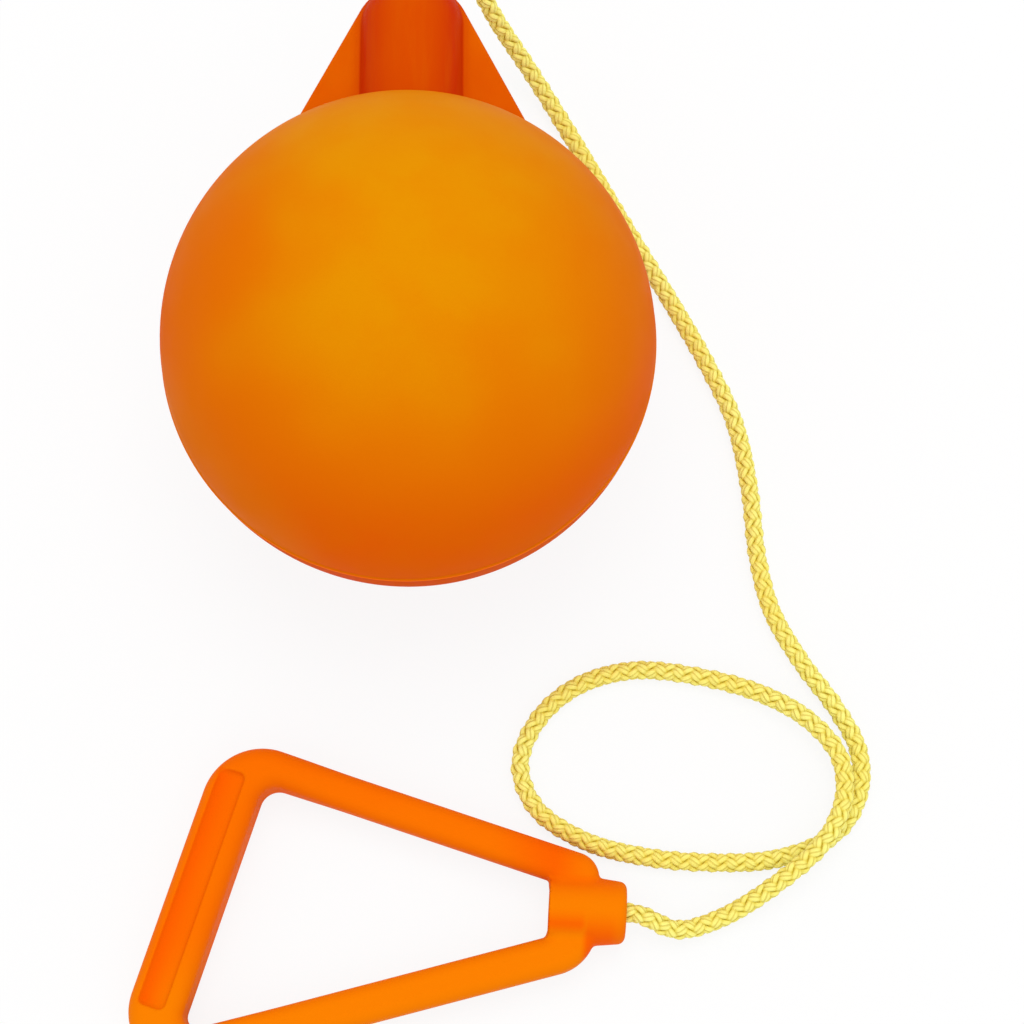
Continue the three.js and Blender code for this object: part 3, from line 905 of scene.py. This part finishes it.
def neighbour_means(vertices, faces):
    """Each vertex halfway to the middle of its neighbours along the quads' edges."""
    starts = faces.ravel()
    ends = np.roll(faces, -1, axis=1).ravel()
    count = np.bincount(starts, minlength=len(vertices)) + np.bincount(ends, minlength=len(vertices))
    total = np.zeros_like(vertices)
    for k in range(3):
        total[:, k] = np.bincount(starts, vertices[ends, k], len(vertices))
        total[:, k] += np.bincount(ends, vertices[starts, k], len(vertices))
    return 0.5 * vertices + 0.5 * total / count[:, None]


def smooth_join(a, b, fillet):
    """The union of two fields, with a fillet where they meet."""
    h = np.clip(0.5 + 0.5 * (b - a) / fillet, 0, 1)
    return b + (a - b) * h - fillet * h * (1 - h)


def smooth_cut(a, b, fillet):
    """The first field less the second, with a rounded edge."""
    return -smooth_join(-a, b, fillet)


def rounded(q, edge):
    """A field from distances to walls that meet at right angles, with a rounded edge."""
    q = [part + edge for part in q]
    outside = np.sqrt(sum(np.maximum(part, 0) ** 2 for part in q))
    return np.minimum(np.maximum.reduce(q), 0) + outside - edge


def meeting_point(p, along_p, q, along_q):
    """Where two lines meet, each given by a point and a direction."""
    turn = along_p[0] * along_q[1] - along_p[1] * along_q[0]
    gap = q - p
    return p + along_p * (gap[0] * along_q[1] - gap[1] * along_q[0]) / turn


def handle_corners():
    """The four corners of the handle's centre line, in the handle's own axes."""

    def arm_end(side, length, angle):
        turn = math.radians(angle)
        spread = BRIDGE_SPAN / 2 + length * math.sin(turn)
        return (bridge_centre - length * math.cos(turn), side * spread)

    upper_grip = arm_end(1, UPPER_ARM_LENGTH, UPPER_ARM_ANGLE)
    lower_grip = arm_end(-1, LOWER_ARM_LENGTH, LOWER_ARM_ANGLE)
    bridge = [(bridge_centre, -BRIDGE_SPAN / 2), (bridge_centre, BRIDGE_SPAN / 2)]
    return np.array([upper_grip, lower_grip, *bridge])


def outline_field(corners, widths, side, radii):
    """The distance to a four-cornered outline with round corners, half a side's width out or in."""
    edges = []
    for i in range(4):
        along = unit(corners[(i + 1) % 4] - corners[i])
        outward = np.array((along[1], -along[0]))
        edges.append((corners[i] + side * widths[i] / 2 * outward, along, outward))
    rounds = []
    for i in range(4):
        start, along, _ = edges[i]
        before_start, before_along, _ = edges[i - 1]
        corner = meeting_point(before_start, before_along, start, along)
        middle = unit(along - before_along)
        half = math.acos(float(np.dot(along, -before_along))) / 2
        centre = corner + middle * radii[i] / math.sin(half)
        rounds.append((centre, before_along, along, radii[i]))

    def distance(points):
        result = np.full(len(points), -1.0)
        for start, _, outward in edges:
            result = np.maximum(result, (points - start) @ outward)
        for centre, before, after, radius in rounds:
            from_centre = points - centre
            inside = (from_centre @ before > 0) & (from_centre @ after < 0)
            reach = np.linalg.norm(from_centre, axis=1) - radius
            result = np.where(inside, np.maximum(reach, -1.0), result)
        return result

    return distance


def smooth_step(value, low, high):
    """A smooth rise from 0 at the low value to 1 at the high one."""
    share = np.clip((value - low) / (high - low), 0, 1)
    return share * share * (3 - 2 * share)


def channel_side(points, corners):
    """How far a point lies outward from the channel's middle line."""
    along = unit(corners[1] - corners[0])
    return (points[:, :2] - corners[0]) @ np.array((along[1], -along[0])) - CHANNEL_SHIFT


def channel_walls(points, corners):
    """Distances beyond the end, the side and the floor of the channel in the grip."""
    along = unit(corners[1] - corners[0])
    end = np.linalg.norm(corners[1] - corners[0]) - CHANNEL_LOWER_MARGIN
    middle = (CHANNEL_UPPER_MARGIN + end) / 2
    return [
        np.abs((points[:, :2] - corners[0]) @ along - middle) - (end - CHANNEL_UPPER_MARGIN) / 2,
        np.abs(channel_side(points, corners)) - CHANNEL_WIDTH / 2,
        BOSS_RADIUS - CHANNEL_DEPTH - points[:, 2],
    ]


def handle_field():
    """The stirrup with its boss, pocket, bore and the channel in its grip."""
    corners = handle_corners()
    widths = (GRIP_WIDTH, LOWER_ARM_WIDTH, BRIDGE_WIDTH, UPPER_ARM_WIDTH)
    outer = outline_field(corners, widths, 1, OUTER_RADII)
    inner = outline_field(corners, widths, -1, INNER_RADII)
    grip_along = unit(corners[1] - corners[0])
    grip_outward = np.array((grip_along[1], -grip_along[0]))

    def field(points):
        plan = points[:, :2]
        from_grip = np.abs((plan - corners[0]) @ grip_outward)
        blend = smooth_step(from_grip, GRIP_WIDTH / 2, GRIP_WIDTH / 2 + GRIP_SWELL_LENGTH)
        half_thickness = BOSS_RADIUS + (ARM_THICKNESS / 2 - BOSS_RADIUS) * blend
        edge = GRIP_EDGE_RADIUS + (ARM_EDGE_RADIUS - GRIP_EDGE_RADIUS) * blend
        walls = np.maximum(outer(plan), -inner(plan))
        bar = rounded([walls, np.abs(points[:, 2]) - half_thickness], edge)
        rho = np.hypot(points[:, 1], points[:, 2])
        nose_share = np.clip(1 - points[:, 0] / bridge_outer, 0, 1)
        taper = BOSS_RADIUS + (BOSS_END_RADIUS - BOSS_RADIUS) * nose_share
        boss = rounded([rho - taper, points[:, 0]], BOSS_TIP_ROUND)
        boss = np.maximum(boss, bridge_inner - points[:, 0])
        whole = smooth_join(bar, boss, BOSS_FILLET)
        before = bridge_inner - CUT_OVERRUN - points[:, 0]
        pocket = np.maximum(rho - BOSS_POCKET_RADIUS, points[:, 0] - boss_pocket_floor)
        whole = smooth_cut(whole, np.maximum(pocket, before), BOSS_POCKET_ROUND)
        whole = smooth_cut(whole, np.maximum(rho - BORE_RADIUS, before), BOSS_BORE_ROUND)
        channel = rounded(channel_walls(points, corners), CHANNEL_CORNER_RADIUS)
        return smooth_cut(whole, channel, CHANNEL_RIM_ROUND)

    return field


def on_boss(points):
    """Points in the handle's own axes, moved to where the handle lies."""
    points = np.asarray(points)
    return (
        np.array(boss_tip)
        + points[:, :1] * np.array(boss_axis)
        + points[:, 1:2] * np.array(boss_side)
        + points[:, 2:] * np.array((0, 0, 1))
    )


def channel_shade_share(vertices, corners):
    """How far each vertex is down in the channel, counted less towards the finger gap: the share of the
    channel's painted shade.
    """
    end, side, _ = channel_walls(vertices, corners)
    depth = np.clip((BOSS_RADIUS - vertices[:, 2]) / CHANNEL_DEPTH, 0, 1)
    inside = (end < 0) & (side < 0) & (vertices[:, 2] > 0)
    inward = smooth_step(-channel_side(vertices, corners), -CHANNEL_WIDTH / 2, CHANNEL_WIDTH / 2)
    faded_share = 0.9
    return np.where(inside, depth * (1 - faded_share * inward), 0)


def painted_boss_shade(vertices):
    """How far painted shade deepens the colour beside the lit line along the boss. It is deepest on the
    lower side towards the tip, and fades out along both arms. All levels are in the handle's own axes."""
    line_level = 0.0016
    x, y, _ = vertices.T
    aside = smooth_step(np.abs(y - line_level), 0.001, 0.0125)
    at_tip = smooth_step(x, -0.006, -0.002)
    on_nose = smooth_step(x, -0.0155, -0.0125)
    off_lower_arm = 1 - smooth_step(-y, 0.0045, 0.009)
    nose_share = on_nose * (0.85 - 0.35 * at_tip)
    crease_shade_share = (1 - on_nose) * 1.5 * off_lower_arm
    lower = aside * np.maximum(nose_share, crease_shade_share) * smooth_step(x, -0.034, -0.026)
    on_upper_arm = smooth_step(y, 0.009, 0.0125) * smooth_step(x, -0.026, -0.014)
    upper = aside * (0.75 - 0.3 * at_tip - 0.6 * on_upper_arm) * smooth_step(x, -0.05, -0.024)
    return np.clip(np.where(y < line_level, lower, upper), 0, 1)


def handle(material):
    """The smooth stirrup handle, with the values that its material reads."""
    corners = handle_corners()
    reach = GRIP_WIDTH
    half_height = BOSS_RADIUS + GRID_MARGIN
    tip_margin = 0.003
    low = (corners[:, 0].min() - reach, corners[:, 1].min() - reach, -half_height)
    high = (tip_margin, corners[:, 1].max() + reach, half_height)
    vertices, faces, normals = surface(handle_field(), low, high)
    turned = on_boss(normals) - np.array(boss_tip)
    made = piece("stirrup_handle", on_boss(vertices), faces, "handle", material, turned)
    # Shares of painted shade, for the channel and for the boss.
    store(made.data, "painted_channel_shade", channel_shade_share(vertices, corners))
    # Painted shade beside the lit line along the boss.
    store(made.data, "painted_boss_shade", painted_boss_shade(vertices))
    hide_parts("handle")
    return made


def neck_field():
    """The collar with its dome, flange and wings, hollow for the knot."""
    foot_level = math.sqrt(ball_radius**2 - WING_SPREAD**2)
    slant = math.radians(WING_SLANT)
    wall_reach = WING_SPREAD * math.cos(slant) + foot_level * math.sin(slant)
    flange_centre = (flange_top + flange_bottom) / 2
    round_y = neck_mouth - WING_TOP_DROP - WING_TOP_ROUND
    round_x = (wall_reach - WING_TOP_ROUND - round_y * math.sin(slant)) / math.cos(slant)

    def field(points):
        x, y, z = points.T
        rho = np.hypot(x, z)
        collar = np.where(y > dome_centre, np.hypot(rho, y - dome_centre), rho) - NECK_RADIUS
        collar = np.maximum(collar, flange_bottom - y)
        collar = -smooth_join(-collar, neck_mouth - y, MOUTH_ROUND)
        slope_wall = np.abs(x) * math.cos(slant) + y * math.sin(slant) - wall_reach
        from_x, from_y = np.abs(x) - round_x, y - round_y
        top_wall = from_y - WING_TOP_ROUND
        in_corner = (from_x > 0) & (from_y > from_x * math.tan(slant))
        corner_wall = np.hypot(from_x, from_y) - WING_TOP_ROUND
        plan_wall = np.where(in_corner, corner_wall, np.maximum(slope_wall, top_wall))
        plan_wall = np.maximum(plan_wall, np.abs(x) - WING_SPREAD)
        wing = rounded([plan_wall, np.abs(z) - WING_THICKNESS / 2], WING_EDGE_ROUND)
        ball = np.linalg.norm(points, axis=1) - (ball_radius + bead_rise(z) + WING_SEAT_GAP)
        wing = smooth_cut(wing, ball, WING_SEAT_ROUND)
        whole = smooth_join(collar, wing, WING_FILLET)
        flange_face = np.abs(y - flange_centre) - FLANGE_THICKNESS / 2
        flange = rounded([rho - FLANGE_RADIUS, flange_face], FLANGE_EDGE_ROUND)
        whole = np.minimum(whole, flange)
        pocket = np.maximum(rho - NECK_POCKET_RADIUS, y - pocket_roof)
        whole = smooth_cut(whole, pocket, NECK_POCKET_ROUND)
        return smooth_cut(whole, rho - BORE_RADIUS, NECK_BORE_ROUND)

    return field


def neck(material):
    """The smooth neck moulding, with the share of each vertex in its wings."""
    reach = WING_SPREAD + GRID_MARGIN
    half_height = FLANGE_RADIUS + GRID_MARGIN
    low = (-reach, flange_bottom - GRID_MARGIN, -half_height)
    high = (reach, neck_mouth + GRID_MARGIN, half_height)
    vertices, faces, normals = surface(neck_field(), low, high)
    places = vertices + np.array(ball_centre)
    made = piece("neck_moulding", places, faces, "ball", material, normals)
    # The wings' share, which the material paints lighter as painted light.
    wing_share = smooth_step(np.abs(vertices[:, 0]), 0.9 * NECK_RADIUS, 1.2 * NECK_RADIUS)
    store(made.data, "wing", wing_share)
    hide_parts("neck")
    return made


# Room


def floor():
    """A pale floor that shows white to the camera where no shadow falls on it."""
    bpy.ops.mesh.primitive_plane_add(size=FLOOR_SIZE, location=(0, 0, 0))
    plane = bpy.context.object
    plane.name = "floor"
    material = bpy.data.materials.new("floor")
    material.use_nodes = True
    tree = material.node_tree
    matt = tree.nodes["Principled BSDF"]
    matt.inputs["Base Color"].default_value = (FLOOR_GREY, FLOOR_GREY, FLOOR_GREY, 1)
    matt.inputs["Roughness"].default_value = 0.9
    matt.inputs["Specular IOR Level"].default_value = 0.1
    glow = tree.nodes.new("ShaderNodeEmission")
    glow.inputs["Color"].default_value = (1, 1, 1, 1)
    share = tree.nodes.new("ShaderNodeMixShader")
    rays = tree.nodes.new("ShaderNodeLightPath")
    seen = tree.nodes.new("ShaderNodeMath")
    seen.operation = "MULTIPLY"
    seen.inputs[1].default_value = FLOOR_GLOW_SHARE
    tree.links.new(rays.outputs["Is Camera Ray"], seen.inputs[0])
    tree.links.new(seen.outputs[0], share.inputs[0])
    tree.links.new(matt.outputs[0], share.inputs[1])
    tree.links.new(glow.outputs[0], share.inputs[2])
    tree.links.new(share.outputs[0], tree.nodes["Material Output"].inputs["Surface"])
    plane.data.materials.append(material)


def world():
    """White to the camera and in reflections, a plain grey light otherwise."""
    room = bpy.data.worlds.new("room")
    bpy.context.scene.world = room
    room.use_nodes = True
    tree = room.node_tree
    background = tree.nodes["Background"]
    background.inputs["Color"].default_value = (1, 1, 1, 1)
    rays = tree.nodes.new("ShaderNodeLightPath")
    seen = rays.outputs["Is Camera Ray"]
    for ray in ("Is Glossy Ray", "Is Transmission Ray"):
        either = tree.nodes.new("ShaderNodeMath")
        either.operation = "MAXIMUM"
        tree.links.new(seen, either.inputs[0])
        tree.links.new(rays.outputs[ray], either.inputs[1])
        seen = either.outputs[0]
    strength = tree.nodes.new("ShaderNodeMapRange")
    strength.inputs["To Min"].default_value = ROOM_LIGHT
    strength.inputs["To Max"].default_value = 1.0
    tree.links.new(seen, strength.inputs["Value"])
    tree.links.new(strength.outputs["Result"], background.inputs["Strength"])


def lamp(name, place, size, power):
    """A square lamp that shines on the middle of the hammer."""
    aim = (0.04, 0.02, 0.0)
    data = bpy.data.lights.new(name, "AREA")
    data.size = size
    data.energy = power
    light = bpy.data.objects.new(name, data)
    light.location = place
    light.rotation_euler = (Vector(aim) - Vector(place)).to_track_quat("-Z", "Y").to_euler()
    bpy.context.scene.collection.objects.link(light)


camera()
rope_look = rope_material()
knot = stopper_knot(rope_look)
melted = melted_end(melted_material())
rope(rope_look)
ball_look = soft_ball_material()
ball_half("ball_lower_half", "ball_lower_shell", -1, ball_look)
ball_half("ball_upper_half", "ball_upper_shell", 1, ball_look)
neck(neck_material())
handle(handle_material())
zinc = zinc_material()
for washer in ("neck_washer", "handle_washer"):
    frame["nodes"][washer].material_slots[0].material = zinc

floor()
world()
lamp("key", (0.05, 0.45, 1.7), size=1.0, power=9)
lamp("fill", (0.3, -0.9, 1.4), size=1.2, power=2.5)

bpy.context.scene.view_settings.view_transform = "Standard"
